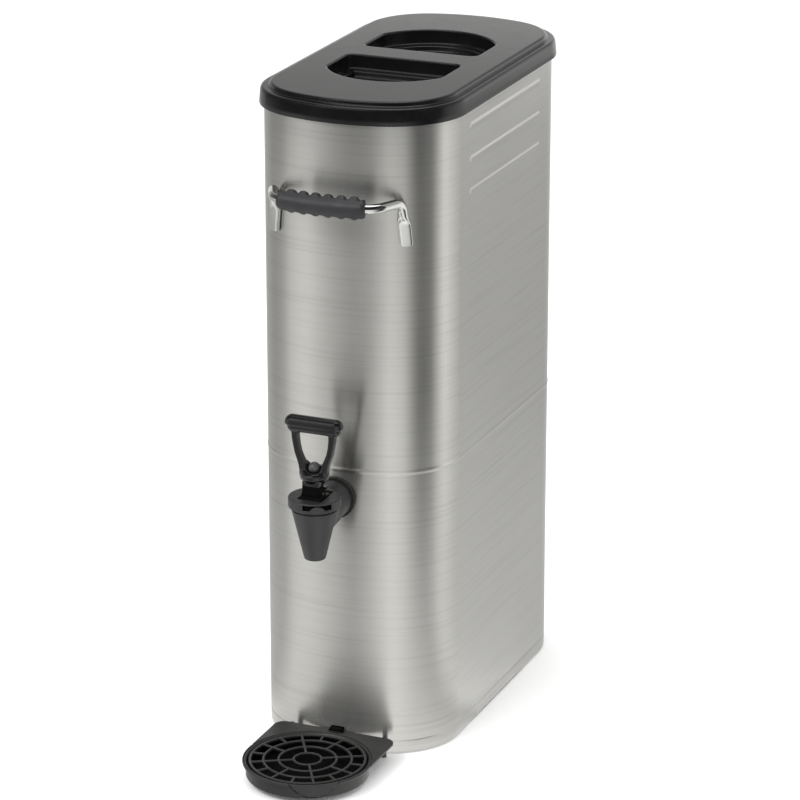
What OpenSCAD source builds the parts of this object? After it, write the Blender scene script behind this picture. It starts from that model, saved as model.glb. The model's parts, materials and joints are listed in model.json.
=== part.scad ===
// Slim oval beverage dispenser: a stainless tank on a hollow pedestal, with a lift-off lid,
// two welded carrying handles, a self-closing faucet and a removable drip tray.
// Millimetres, +Z up. The origin is the centre of the body's footprint on the counter. The front is -Y.

/* [Body] */
// Width across the flat sides
body_w = 168; // [160:1:176]
// Depth from the front bow to the rear bow
body_d = 322; // [310:1:334]
// Radius of the bowed front and rear
bow_r = 141; // [138:1:146]
// Radius of the four upright corners
corner_r = 60; // [56:1:62]
// Height of the wall's top edge above the counter
body_top = 552; // [500:1:600]
// Thickness of the sheet steel
sheet = 1; // [0.8:0.1:1.2]
// Height of the stiffening bead around the wall
bead_z = 251; // [249:1:300]
// Height of the tank floor at the front, its lowest place
floor_z = 203; // [180:1:204]
// Fall of the tank floor towards the faucet, in degrees
floor_fall = 1.2; // [0.5:0.1:1.5]

/* [Lid] */
// How far the lid's skirt stands out from the wall
lid_out = 4; // [3:0.5:5]
// Height of the skirt below the lid's rim
skirt_h = 14; // [12:1:18]
// Wall thickness of the moulding
lid_wall = 2.2; // [2:0.1:2.5]
// Half the width of each finger well
well_x = 51; // [40:1:54]
// Depth of each finger well down to its ledge
well_depth = 12; // [9:1:13]
// Width of the bar between the wells
bar_w = 30; // [26:1:36]

/* [Carrying handles] */
// Diameter of the handle wire
wire_d = 8; // [7:0.5:9]
// Height of the handle's bow
handle_z = 482; // [450:1:500]
// Distance of the bow's middle from the wall, centre to face
bow_out = 26; // [24:1:30]
// Diameter of the rubber grip
grip_d = 16; // [14:0.5:17]
// Number of finger ribs on a grip
grip_ribs = 6; // [4:2:6]

/* [Faucet] */
// Distance of the spout's axis in front of the wall
tap_out = 43; // [40:1:50]
// Height of the shank's axis
tap_z = 226.8; // [224:0.2:229]
// Length of the handle's grip bar
tbar_w = 50.8; // [44:0.4:56]
// Height of the grip bar's axis
tbar_z = 303.6; // [298:0.2:308]
// Radius of the bonnet
bonnet_r = 21.7; // [21:0.1:23]

/* [Drip tray] */
// Distance of the cup's axis in front of the wall
cup_out = 61; // [60:1:70]
// Radius of the cup's wall
cup_r = 51.7; // [50:0.1:52]
// Height of the holder plate's top above the counter
plate_top = 18; // [16:1:22]
// Radius of the grate
grate_r = 49; // [47:0.5:49.5]
// Turn of the cup and grate in the holder, in degrees
cup_turn = 30; // [0:5:45]

/* [Hidden] */
fine = 96;
front_y = -body_d / 2;
far = 400;
foot_h = 2;
corner_x = body_w / 2 - corner_r;
bow_y = body_d / 2 - bow_r;
corner_y = bow_y + sqrt(pow(bow_r - corner_r, 2) - pow(corner_x, 2));
// body details
bead_h = 3;
bead_proud = 0.8;
hem_h = 10;
rim_h = 3;
rim_w = 3;
rib_l = 167;
rib_h = 6.5;
rib_proud = 1;
rib_drop = [23, 51, 78];
flange_in = 26;
foot_at = [70, 85];
foot_r = 8;
stud_r = 3;
// lid
skirt_bottom = body_top - 8.5;
lid_gap = 1.5;
rim_top = skirt_bottom + skirt_h;
plat_h = 3.8;
plat_in = 4.5;
lid_top = rim_top + plat_h;
bar_y = 2;
well_side = 45;
well_reach = 32;
ledge_w = 9;
ledge_step = 4.5;
// handles
wire_r = wire_d / 2;
wire_sides = 14;
bow_path_r = 198;
bow_half = 10;
turn_r = 18;
leg_heading = 72;
drop_r = 9;
tab_w = 10.7;
tab_t = 4.5;
tab_low = 445;
tab_high = 462;
tab_lean = 30;
tab_splay = 3;
grip_half = 37;
grip_sides = 16;
rib_pitch = 11;
rib_w = 4.4;
rib_proud_r = 2.5;
// faucet
tap_y = front_y - tap_out;
spout_low = 188.3;
spout_r = 8.75;
cone_top = 232;
cone_r = 19.2;
chamber_r = 12;
seat_z = 212;
outlet_r = 6;
barrel_r = 15.8;
shank_r = 7.9;
shank_bore = 5;
washer_r = 17.6;
washer_t = 3.5;
bonnet_low = 233.9;
bonnet_top = 242.4;
slot_floor = 239.15;
slot_x = 10.5;
toe_r = 2;
toe_x = 9.8;
toe_y = tap_y - 9;
toe_z = 241.2;
pin_z = 245.2;
pin_r = 1.5;
neck_x = 7.8;
stem_r = 3;
hub_r = 11.5;
ball_z = 266.7;
ball_r = 4.9;
tbar_r = 6.4;
tbar_ridge_r = 4.6;
tbar_ridge_drop = 3.3;
// drip tray
cup_y = front_y - cup_out;
plate_t = 2.5;
ring_out = 54;
cup_rim_r = 52.6;
cup_floor = 4.5;
cup_wall = 1.5;
lip_proud = 0.6;
lip_out = 53.9;
lip_arc_r = 24;
lip_arc_z = 30.5;
lip_gap = 0.6;
grate_t = 2.5;
grate_bar = 2.4;
grate_rings = [36.5, 24, 11.5];
rear_x = 43;
rear_gap = 0.4;
tongue_w = 11.2;
tongue_h = 3;
leg_x = 42;
leg_r = 2.4;

// ---- shared shapes ----

// The body's plan, drawn in by a distance: flat sides, bowed ends and tangent corner arcs.
module oval(inset) {
  square([body_w - 2 * inset, 2 * corner_y], center = true);
  for (x = [-1, 1], y = [-1, 1])
    translate([x * corner_x, y * corner_y]) circle(r = corner_r - inset, $fn = fine);
  for (end = [0, 1]) mirror([0, end]) translate([0, bow_y]) intersection() {
    circle(r = bow_r - inset, $fn = 2 * fine);
    polygon([[0, 0], 3 * [-corner_x, corner_y - bow_y], 3 * [corner_x, corner_y - bow_y]]);
  }
}

module oval_slab(low, high, inset) {
  translate([0, 0, low]) linear_extrude(high - low) oval(inset);
}

module oval_band(low, high, outer, inner) {
  translate([0, 0, low]) linear_extrude(high - low) difference() {
    oval(outer);
    oval(inner);
  }
}

// A rod of radius r along +Y, from y0 to y1, on the faucet's shank axis.
module shank_rod(r, y0, y1, sides = fine) {
  translate([0, y1, tap_z]) rotate([90, 0, 0]) cylinder(r = r, h = y1 - y0, $fn = sides);
}

// An upright disc or rod on the spout's axis.
module tap_disc(r, low, high) {
  translate([0, tap_y, low]) cylinder(r = r, h = high - low, $fn = fine);
}

// An upright disc on the drip cup's axis.
module cup_disc(r, low, high) {
  translate([0, cup_y, low]) cylinder(r = r, h = high - low, $fn = fine);
}

module cup_ring(outer, inner, low, high) {
  difference() {
    cup_disc(outer, low, high);
    cup_disc(inner, low - 1, high + 1);
  }
}

// ---- body ----

module side_rib(drop) {
  translate([body_w / 2 - sheet / 2, 0, body_top - drop]) rotate([90, 0, 90])
    linear_extrude(rib_proud + sheet / 2) {
      square([rib_l - rib_h, rib_h], center = true);
      for (end = [-1, 1]) translate([end * (rib_l - rib_h) / 2, 0]) circle(d = rib_h, $fn = 32);
    }
}

module body_shell() {
  color("silver") difference() {
    union() {
      oval_band(foot_h, body_top, 0, sheet);
      oval_band(bead_z - bead_h / 2, bead_z + bead_h / 2, -bead_proud, sheet / 2);
      oval_band(foot_h, foot_h + hem_h, sheet / 2, 2 * sheet);
      oval_band(body_top - rim_h, body_top, sheet / 2, rim_w);
      for (side = [0, 1], drop = rib_drop) mirror([side, 0, 0]) side_rib(drop);
    }
    shank_rod(shank_r, front_y - 5, front_y + 5);
    translate([0, front_y, plate_top + 1.2])
      cube([tongue_w + 1.2, 10, tongue_h + 1.2], center = true);
  }
}

// A sloping pan whose turned-up edge is seam-welded to the wall.
module tank_floor() {
  color("gainsboro") {
    intersection() {
      oval_slab(floor_z - 1, floor_z + 20, sheet);
      translate([-far / 2, front_y, floor_z]) rotate([floor_fall, 0, 0])
        cube([far, far, sheet]);
    }
    oval_band(floor_z, floor_z + 9, sheet, 2 * sheet);
  }
}

// The pedestal's inward flange, which carries the feet.
module base_ring() {
  color("gainsboro") difference() {
    union() {
      oval_band(foot_h, foot_h + 1.2, 2 * sheet, flange_in);
      oval_band(foot_h, foot_h + hem_h, 2 * sheet, 3 * sheet);
    }
    for (x = [-1, 1], y = [-1, 1]) translate([x * foot_at[0], y * foot_at[1], 0])
      cylinder(r = stud_r, h = 3 * foot_h, $fn = 48);
  }
}

// A push-in rubber foot: pad below the flange, neck through it and a barb above.
module foot(x, y) {
  color("black") translate([x * foot_at[0], y * foot_at[1], 0]) rotate_extrude($fn = 48)
    polygon([[0, 0], [foot_r - 0.6, 0], [foot_r, 0.6], [foot_r, foot_h], [stud_r, foot_h],
             [stud_r, foot_h + 1.2], [stud_r + 1.5, foot_h + 1.2], [stud_r - 1, foot_h + 5],
             [0, foot_h + 5]]);
}

module foot_front_left() { foot(-1, -1); }
module foot_front_right() { foot(1, -1); }
module foot_rear_left() { foot(-1, 1); }
module foot_rear_right() { foot(1, 1); }

// ---- carrying handles ----

// Both are swept along one path, from the middle of the bow to the end of the tab. A station of
// the sweep is [place, heading in plan, pitch down, half width, half thickness].
bow_centre = [0, front_y - bow_out + bow_path_r];
turn_centre = bow_centre + (bow_path_r - turn_r) * [sin(bow_half), -cos(bow_half)];
bow_len = bow_path_r * bow_half * PI / 180;

// A place off the wall's corner arc, at a distance from the wall and an angle from the front.
function off_wall(gap, lean) =
  [corner_x, -corner_y] + (corner_r + gap) * [sin(lean), -cos(lean)];

// A station on the bow or the corner bend, at a distance along the path from the bow's middle.
function bow_station(along, w, t) =
  along <= bow_len
    ? let (a = bow_half * along / bow_len)
      [level(bow_centre + bow_path_r * [sin(a), -cos(a)]), a, 0, w, t]
    : let (a = bow_half + (along - bow_len) / turn_r * 180 / PI)
      [level(turn_centre + turn_r * [sin(a), -cos(a)]), a, 0, w, t];

function level(p) = [p[0], p[1], handle_z];

// The quarter bend from the level leg down to the tab.
function drop_station(pitch) =
  let (far_end = off_wall(wire_r, tab_lean), run = drop_r * (1 - sin(pitch)))
  [[far_end[0] - run * cos(leg_heading), far_end[1] - run * sin(leg_heading),
    handle_z - drop_r * (1 - cos(pitch))], leg_heading, pitch, wire_r, wire_r];

// The flattened tab: part is 0 at the bend's end and 1 where the wire is fully flat.
function tab_station(z, part, narrow = 1) =
  let (w = narrow * (wire_r + part * (tab_w / 2 - wire_r)),
       t = wire_r + part * (tab_t / 2 - wire_r),
       lean = tab_lean + tab_splay * (tab_top - z) / (tab_top - tab_low),
       p = off_wall(t, lean),
       turn = leg_heading + part * (90 + lean - leg_heading))
  [[p[0], p[1], z], turn, 90, w, t];

bend_len = turn_r * (leg_heading - bow_half) * PI / 180;
tab_top = handle_z - drop_r;
wire_half = concat(
  [for (i = [0:3]) bow_station(bow_len * i / 4, wire_r, wire_r)],
  [for (i = [0:8]) bow_station(bow_len + bend_len * i / 8, wire_r, wire_r)],
  [for (pitch = [0:18:90]) drop_station(pitch)],
  [for (i = [1:3]) tab_station(tab_top + (tab_high - tab_top) * i / 3, i / 3)],
  [tab_station(tab_low + 3, 1), tab_station(tab_low + 1, 1, 0.9), tab_station(tab_low, 1, 0.7)]);

// A point of a station's section; angle 0 is on the side away from the wall.
function section_point(st, angle, grow) =
  let (h = st[1], p = st[2])
  st[0] + (st[3] + grow) * cos(angle) * [sin(h), -cos(h), 0]
        + (st[4] + grow) * sin(angle) * [sin(p) * cos(h), sin(p) * sin(h), cos(p)];

// The whole handle is symmetrical, so a ring left of the middle is the mirror of its partner.
function ring(half, i, sides, grow) =
  [for (j = [0:sides - 1]) let (q = section_point(half[abs(i)], 360 * j / sides, grow[abs(i)][j]))
    [i < 0 ? -q[0] : q[0], q[1], q[2]]];

function band(a, b, sides) =
  [for (j = [0:sides - 1]) [a + j, a + (j + 1) % sides, b + (j + 1) % sides, b + j]];

module handle_wire() {
  n = len(wire_half) - 1;
  plain = [for (st = wire_half) [for (j = [1:wire_sides]) 0]];
  color("lightgray") polyhedron(
    points = [for (i = [-n:n]) each ring(wire_half, i, wire_sides, plain)],
    faces = concat([[for (j = [wire_sides - 1:-1:0]) j]],
      [for (i = [0:2 * n - 1]) each band(i * wire_sides, (i + 1) * wire_sides, wire_sides)],
      [[for (j = [0:wire_sides - 1]) 2 * n * wire_sides + j]]));
}

// Stations of half a grip: four for each finger rib, and the plain rounded end.
rib_places = [for (k = [0:grip_ribs / 2 - 1]) (k + 0.5) * rib_pitch];
grip_along = concat([0],
  [for (c = rib_places, part = [-2, -1, 1, 2]) c + part * rib_w / 4],
  [grip_half - 4, grip_half - 1.2, grip_half]);

function on_rib(along) = len([for (c = rib_places) if (abs(along - c) < rib_w / 3) c]);

function grip_grow(along, angle) =
  (along == grip_half ? -1.2 : 0) + (cos(angle) < 0.1 ? on_rib(along) * rib_proud_r : 0);

// A moulded sleeve, smooth in front, with half-round finger ribs behind.
module handle_grip() {
  half = [for (a = grip_along) bow_station(a, grip_d / 2, grip_d / 2)];
  bore = [for (a = grip_along) bow_station(a, wire_r + 0.1, wire_r + 0.1)];
  n = len(half) - 1;
  m = grip_sides;
  ribbed = [for (a = grip_along) [for (j = [0:m - 1]) grip_grow(a, 360 * j / m)]];
  plain = [for (a = grip_along) [for (j = [1:m]) 0]];
  inner = (2 * n + 1) * m;
  color("dimgray") polyhedron(
    points = concat([for (i = [-n:n]) each ring(half, i, m, ribbed)],
                    [for (i = [-n:n]) each ring(bore, i, m, plain)]),
    faces = concat(
      [for (i = [0:2 * n - 1]) each band(i * m, (i + 1) * m, m)],
      [for (i = [0:2 * n - 1]) each band(inner + (i + 1) * m, inner + i * m, m)],
      band(inner, 0, m),
      band(2 * n * m, inner + 2 * n * m, m)));
}

module handle_front_wire() { handle_wire(); }
module handle_front_grip() { handle_grip(); }
module handle_rear_wire() { mirror([0, 1, 0]) handle_wire(); }
module handle_rear_grip() { mirror([0, 1, 0]) handle_grip(); }

// ---- faucet ----

module faucet_body() {
  color("darkslategray") difference() {
    union() {
      translate([0, tap_y, spout_low])
        cylinder(r1 = spout_r, r2 = cone_r, h = cone_top - spout_low, $fn = fine);
      shank_rod(barrel_r, tap_y, front_y - washer_t);
      shank_rod(shank_r, front_y - washer_t - 1, front_y + 24);
      translate([-6, 0, 0]) rotate([90, 0, 90]) linear_extrude(12)
        polygon([[tap_y, spout_low + 14], [front_y - washer_t - 1, tap_z - washer_r + 0.4],
                 [front_y - washer_t - 1, tap_z - 8], [tap_y, tap_z - 8]]);
    }
    tap_disc(chamber_r, seat_z, cone_top + 20);
    tap_disc(outlet_r, spout_low - 1, seat_z + 1);
    shank_rod(shank_bore, tap_y, front_y + 25);
    tap_disc(cone_r - 0.7, cone_top, bonnet_low);
    tap_disc(bonnet_r + 0.3, bonnet_low - 0.3, tap_z + barrel_r + 1);
  }
}

// Sealing washer outside the wall; its back is shaped to the bowed wall.
module faucet_washer() {
  color("black") difference() {
    shank_rod(washer_r, front_y - washer_t, front_y + 3);
    shank_rod(shank_r, front_y - washer_t - 1, front_y + 4);
    oval_slab(tap_z - 30, tap_z + 30, 0);
  }
}

module shank_gasket() {
  color("white") intersection() {
    difference() {
      shank_rod(13, front_y - 2, front_y + 5);
      shank_rod(shank_r, front_y - 3, front_y + 6);
    }
    oval_slab(tap_z - 30, tap_z + 30, sheet);
  }
}

module shank_nut() {
  color("dimgray") difference() {
    shank_rod(13, front_y + 5, front_y + 12, 6);
    shank_rod(shank_r, front_y + 4, front_y + 13);
  }
}

// Screw-on cap: it closes the chamber, holds the spring and has the handle's slot in its top.
module bonnet() {
  color("darkslategray") difference() {
    union() {
      translate([0, tap_y, 0]) rotate_extrude($fn = fine)
        polygon([[0, cone_top], [cone_r - 1, cone_top], [cone_r - 1, bonnet_low],
                 [bonnet_r - 0.8, bonnet_low], [bonnet_r, bonnet_low + 0.8],
                 [bonnet_r, bonnet_top - 1.2], [bonnet_r - 1.2, bonnet_top], [0, bonnet_top]]);
      tap_disc(chamber_r - 0.05, cone_top - 5, cone_top + 1);
    }
    tap_disc(8, cone_top - 6, cone_top + 4);
    tap_disc(stem_r + 0.3, cone_top, bonnet_top);
    translate([-slot_x, toe_y - toe_r - 0.6, slot_floor])
      cube([2 * slot_x, 27, bonnet_top]);
  }
}

// Forked lever: its toe rocks on the bonnet and its fork lifts the stem by the cross pin.
module tap_handle() {
  color("darkslategray") difference() {
    union() {
      translate([-toe_x, toe_y, toe_z]) rotate([0, 90, 0])
        cylinder(r = toe_r, h = 2 * toe_x, $fn = 48);
      translate([-toe_x, toe_y, toe_z - 1.8]) cube([2 * toe_x, 18, 3.8]);
      translate([-neck_x, toe_y - 1, toe_z - 0.6]) cube([2 * neck_x, 17, 14]);
      tap_disc(hub_r, 252.4, 266);
      stirrup();
    }
    translate([-stem_r - 0.3, toe_y + 1.5, toe_z - 5]) cube([2 * stem_r + 0.6, 40, 15.3]);
    pin_rod(neck_x + 1);
    translate([0, tap_y, ball_z + 1.5]) sphere(r = ball_r + 2.2, $fn = 48);
    tap_disc(2.5, 250, ball_z);
  }
}

// Two arms that spread from the hub to the grip bar.
module stirrup() {
  translate([0, tap_y + 3.2, 0]) rotate([90, 0, 0]) linear_extrude(6.4) difference() {
    polygon([[-10.5, 258], [-13.3, 271], [-17.4, 281], [-19.2, tbar_z - 6], [-19.2, tbar_z],
             [19.2, tbar_z], [19.2, tbar_z - 6], [17.4, 281], [13.3, 271], [10.5, 258]]);
    polygon([[-6.5, 270], [-11.6, 280], [-13.2, tbar_z - 12], [-13.2, tbar_z - 3],
             [13.2, tbar_z - 3], [13.2, tbar_z - 12], [11.6, 280], [6.5, 270]]);
    translate([0, 271.5]) circle(r = 6.7, $fn = 48);
  }
  translate([0, tap_y, tbar_z - tbar_ridge_drop]) rotate([0, 90, 0])
    cylinder(r = tbar_ridge_r, h = tbar_w - 2 * tbar_r, center = true, $fn = 48);
  translate([0, tap_y, tbar_z]) rotate([0, 90, 0])
    cylinder(r = tbar_r, h = tbar_w - 2 * tbar_r, center = true, $fn = 48);
  for (end = [-1, 1]) translate([end * (tbar_w / 2 - tbar_r), tap_y, tbar_z])
    sphere(r = tbar_r, $fn = 48);
}

// A rod along X at the cross pin's place.
module pin_rod(reach) {
  translate([-reach, tap_y, pin_z]) rotate([0, 90, 0])
    cylinder(r = pin_r, h = 2 * reach, $fn = 48);
}

module handle_pin() { color("silver") pin_rod(neck_x); }

// The round end seen in the hub's dish.
module stem_cap() {
  color("black") {
    tap_disc(2.5, 254, ball_z);
    translate([0, tap_y, ball_z]) sphere(r = ball_r, $fn = 48);
  }
}

// Lifting stem: collar under the spring, rod through the bonnet and a slotted eye for the pin.
module valve_stem() {
  color("white") difference() {
    union() {
      tap_disc(stem_r, seat_z + 8, toe_z);
      tap_disc(7, seat_z + 8, seat_z + 9.5);
      translate([-stem_r + 0.1, toe_y + 2.3, toe_z - 0.2]) cube([2 * stem_r - 0.2, 13, 8]);
    }
    for (y = [-3.4, 0]) translate([-10, tap_y + y, pin_z]) rotate([0, 90, 0])
      cylinder(r = pin_r + 0.4, h = 20, $fn = 48);
    translate([-10, tap_y - 3.4, pin_z - pin_r - 0.4]) cube([20, 3.4, 2 * pin_r + 0.8]);
  }
}

// Silicone cup that closes the outlet.
module seat_cup() {
  color("gray") difference() {
    tap_disc(9.5, seat_z + 0.3, seat_z + 8);
    tap_disc(7, seat_z - 1, seat_z + 2);
  }
}

// The closing spring, drawn as its separate turns.
module valve_spring() {
  color("silver") for (i = [0:5]) translate([0, tap_y, seat_z + 10.4 + i * 2.58])
    rotate_extrude($fn = 48) translate([5, 0]) circle(r = 0.6, $fn = 24);
}

// ---- lid ----

// A finger well's plan, rear one: flat along the bar, straight sides and a bowed far end.
module well(inset) {
  arc_r = (well_x * well_x + well_reach * well_reach) / (2 * well_reach);
  intersection() {
    translate([0, well_side - arc_r + well_reach]) circle(r = arc_r - inset, $fn = 2 * fine);
    translate([-well_x + inset, inset]) square([2 * (well_x - inset), 2 * well_side]);
  }
}

module both_wells(low, high, inset) {
  for (side = [0, 1]) translate([0, bar_y, low]) mirror([0, side, 0])
    translate([0, bar_w / 2, 0]) linear_extrude(high - low) well(inset);
}

module lid() {
  ledge_z = lid_top - well_depth;
  color("dimgray") difference() {
    union() {
      difference() {
        union() {
          oval_slab(skirt_bottom, rim_top - 4, -lid_out);
          oval_slab(rim_top - 5, rim_top - 2, -lid_out + 0.5);
          oval_slab(rim_top - 3, rim_top, -lid_out + 1.6);
          oval_slab(rim_top - 1, lid_top, plat_in);
        }
        oval_slab(skirt_bottom - 1, body_top + 0.3, -lid_gap);
        oval_slab(body_top, rim_top - lid_wall, 2 * lid_gap);
        oval_slab(body_top, lid_top - lid_wall, plat_in + lid_wall);
      }
      both_wells(ledge_z - lid_wall, lid_top - 1, -lid_wall);
      both_wells(ledge_z - ledge_step - lid_wall, ledge_z, ledge_w - lid_wall);
    }
    both_wells(ledge_z, lid_top + 1, 0);
    both_wells(ledge_z - ledge_step, lid_top, ledge_w);
  }
}

// ---- drip tray ----

// The holder's plan: straight rear edge, rounded rear corners and a round front.
module holder_plan() {
  rear = front_y - rear_gap;
  translate([0, cup_y]) circle(r = ring_out, $fn = 2 * fine);
  translate([-ring_out, cup_y]) square([2 * ring_out, rear - 9 - cup_y]);
  translate([-rear_x, cup_y]) square([2 * rear_x, rear - cup_y]);
  for (side = [-1, 1]) translate([side * (ring_out - 9), rear - 9]) circle(r = 9, $fn = 48);
}

// Plate with a round seat for the cup, a tongue into the wall's slot and two rear legs.
module tray_holder() {
  color("dimgray") {
    difference() {
      translate([0, 0, plate_top - plate_t]) linear_extrude(plate_t) holder_plan();
      cup_disc(cup_r + 0.3, 0, plate_top + 1);
      cup_disc(cup_rim_r + 0.3, plate_top - 1.8, plate_top + 1);
      lip_block(lip_gap);
    }
    translate([-tongue_w / 2, front_y - 5, plate_top + 1.2 - tongue_h / 2])
      cube([tongue_w, 12, tongue_h]);
    for (side = [-1, 1]) translate([side * leg_x, front_y - rear_gap + 1, 0])
      cylinder(r = leg_r, h = plate_top - 1, $fn = 32);
  }
}

// Loose round cup with a rim that hangs in the holder and a foot ring on the counter.
module drip_cup() {
  color("dimgray") {
    difference() {
      union() {
        cup_disc(cup_r - lip_proud, cup_floor, plate_top - 0.5);
        cup_disc(cup_rim_r, plate_top - 1.5, plate_top - 0.4);
      }
      cup_disc(cup_r - lip_proud - cup_wall, cup_floor + cup_wall, plate_top + 1);
    }
    cup_ring(cup_r - 1, cup_r - 4, plate_top - 5, plate_top - 3.2);
    cup_ring(30, 26, 0, cup_floor + 1);
    thumb_lip();
  }
}

// A crescent lip on the cup's wall, for the thumb; it sits in an opening of the holder's ring.
module thumb_lip() {
  intersection() {
    cup_ring(lip_out, cup_r - 2 * lip_proud, cup_floor + 1, plate_top - 0.4);
    lip_block(0);
  }
}

// The upright block that bounds the lip, grown by a gap.
module lip_block(gap) {
  translate([0, cup_y, lip_arc_z]) rotate([0, 0, cup_turn]) translate([0, -cup_r, 0])
    rotate([90, 0, 0]) cylinder(r = lip_arc_r + gap, h = 20, center = true, $fn = fine);
}

// Openwork grate: four rings joined by four long, four middle and eight short bars.
module drip_grate() {
  low = plate_top - 2.9;
  color("dimgray") {
    cup_ring(grate_r, grate_r - 2.7, low, low + grate_t);
    for (r = grate_rings)
      cup_ring(r + grate_bar / 2, r - grate_bar / 2, low, low + grate_t);
    for (i = [0:3]) {
      grate_spoke(i * 90, grate_rings[2]);
      grate_spoke(i * 90 + 45, grate_rings[1]);
      grate_spoke(i * 90 + 22.5, grate_rings[0]);
      grate_spoke(i * 90 + 67.5, grate_rings[0]);
    }
  }
}

module grate_spoke(at, from) {
  translate([0, cup_y, plate_top - 2.9]) rotate([0, 0, at + cup_turn])
    translate([from, -grate_bar / 2, 0]) cube([grate_r - 1.5 - from, grate_bar, grate_t]);
}

body_shell();
tank_floor();
base_ring();
foot_front_left();
foot_front_right();
foot_rear_left();
foot_rear_right();
handle_front_wire();
handle_front_grip();
handle_rear_wire();
handle_rear_grip();
faucet_body();
faucet_washer();
shank_gasket();
shank_nut();
bonnet();
tap_handle();
handle_pin();
stem_cap();
valve_stem();
seat_cup();
valve_spring();
lid();
tray_holder();
drip_cup();
drip_grate();
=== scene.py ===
import json
import math

import bmesh
import bpy
import numpy as np
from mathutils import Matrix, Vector

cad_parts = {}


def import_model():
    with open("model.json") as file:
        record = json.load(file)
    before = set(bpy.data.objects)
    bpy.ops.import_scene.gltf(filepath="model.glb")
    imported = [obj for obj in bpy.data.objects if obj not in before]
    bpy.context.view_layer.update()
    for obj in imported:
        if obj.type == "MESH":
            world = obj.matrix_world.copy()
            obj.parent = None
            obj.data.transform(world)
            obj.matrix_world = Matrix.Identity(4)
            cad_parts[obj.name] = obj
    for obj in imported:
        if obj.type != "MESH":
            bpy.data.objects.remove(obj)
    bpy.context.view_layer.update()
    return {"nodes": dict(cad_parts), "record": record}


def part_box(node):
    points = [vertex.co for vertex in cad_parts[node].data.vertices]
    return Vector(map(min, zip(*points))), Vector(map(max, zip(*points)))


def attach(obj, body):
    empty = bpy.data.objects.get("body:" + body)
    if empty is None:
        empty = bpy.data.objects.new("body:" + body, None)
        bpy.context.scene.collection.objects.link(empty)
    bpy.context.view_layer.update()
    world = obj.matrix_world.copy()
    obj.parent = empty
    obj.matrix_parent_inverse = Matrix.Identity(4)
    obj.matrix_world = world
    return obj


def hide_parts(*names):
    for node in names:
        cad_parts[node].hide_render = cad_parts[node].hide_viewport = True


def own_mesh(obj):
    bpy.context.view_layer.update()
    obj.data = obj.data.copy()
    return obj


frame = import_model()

MM = 0.001
RECORD = frame["record"]
BODY_OF = {n: b for b, ns in RECORD["behaviour"]["bodies"].items() for n in ns}


# ---------------------------------------------------------------- sizes, in millimetres

def low(node):
    return np.array(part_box(node)[0]) / MM


def high(node):
    return np.array(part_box(node)[1]) / MM


def mid(node):
    return (low(node) + high(node)) / 2


def sind(a):
    return math.sin(math.radians(a))


def cosd(a):
    return math.cos(math.radians(a))


def smooth(x, a, b):
    """0 below a, 1 above b, and an even S between them."""
    t = np.clip((x - a) / (b - a), 0, 1)
    return t * t * (3 - 2 * t)


def turned(x, y, centre_y, angle):
    """Distances across and along a direction that is turned from the front by an angle."""
    across = x * cosd(angle) + (y - centre_y) * sind(angle)
    along = x * sind(angle) - (y - centre_y) * cosd(angle)
    return across, along


# Sheet thickness and the oval's plan: tight corners, with a shallow bow at the front and the back
SHEET = 1.0
HALF_W = high("base_ring")[0] + 2 * SHEET
HALF_D = high("base_ring")[1] + 2 * SHEET
FOOT_Z = low("body_shell")[2]
WALL_TOP = high("body_shell")[2]
CORNER_R, BOW_R = 60.0, 141.0
CORNER_X = HALF_W - CORNER_R
BOW_Y = HALF_D - BOW_R
CORNER_Y = BOW_Y + math.sqrt((BOW_R - CORNER_R) ** 2 - CORNER_X ** 2)
# Centre lines of the faucet's cone, its shank and the drip cup
TAP_Y = mid("stem_cap")[1]
SHANK_Z = mid("shank_nut")[2]
CUP_Y = mid("drip_cup")[1]


# ---------------------------------------------------------------- meshes

def linked(name, data):
    """A new object in the scene that holds this mesh, light or camera."""
    ob = bpy.data.objects.new(name, data)
    bpy.context.scene.collection.objects.link(ob)
    return ob


def solid(name, verts, faces):
    """A new object from points in millimetres, with its faces turned outwards."""
    me = bpy.data.meshes.new(name)
    me.from_pydata((np.asarray(verts, float) * MM).tolist(), [], [tuple(map(int, f)) for f in faces])
    bm = bmesh.new()
    bm.from_mesh(me)
    bmesh.ops.recalc_face_normals(bm, faces=bm.faces)
    bm.to_mesh(me)
    bm.free()
    return linked(name, me)


def piece(name, node, verts, faces, material, sharp=None, uv=None):
    """A smooth-shaded mesh that stands for a CAD node and moves with its body.

    Edges steeper than sharp degrees stay crisp, and uv goes to put_uv."""
    ob = solid(name, verts, faces)
    if uv is not None:
        put_uv(ob.data, *uv)
    ob.data.shade_smooth()
    if sharp:
        ob.data.set_sharp_from_angle(angle=math.radians(sharp))
    ob.data.materials.append(material)
    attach(ob, BODY_OF[node])
    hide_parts(node)
    return ob


def paint_shade(ob, *places):
    """Paints shade: gives the near-black painted-shade material to the faces whose middle, in millimetres,
    meets one of the tests.
    """
    ob.data.materials.append(PAINTED_SHADE)
    for poly in ob.data.polygons:
        if any(inside(*(poly.center / MM)) for inside in places):
            poly.material_index = 1


def put_uv(me, u, v, period):
    """UV map "grain": the run along the sheet and the height, in metres."""
    layer = me.uv_layers.new(name="grain")
    loops = np.zeros(len(me.loops), np.int32)
    me.loops.foreach_get("vertex_index", loops)
    uu, vv = np.asarray(u)[loops], np.asarray(v)[loops]
    for poly in me.polygons:
        at = slice(poly.loop_start, poly.loop_start + poly.loop_total)
        part = uu[at]
        if part.max() - part.min() > period / 2:
            uu[at] = np.where(part < period / 2, part + period, part)
    layer.data.foreach_set("uv", (np.stack([uu, vv], 1) * MM).astype(np.float32).ravel())


def skin(first, second, n, faces, closed=True):
    """Quads between two rings of n points that start at these indices."""
    for j in range(n if closed else n - 1):
        k = (j + 1) % n
        faces.append((first + j, first + k, second + k, second + j))


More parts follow.
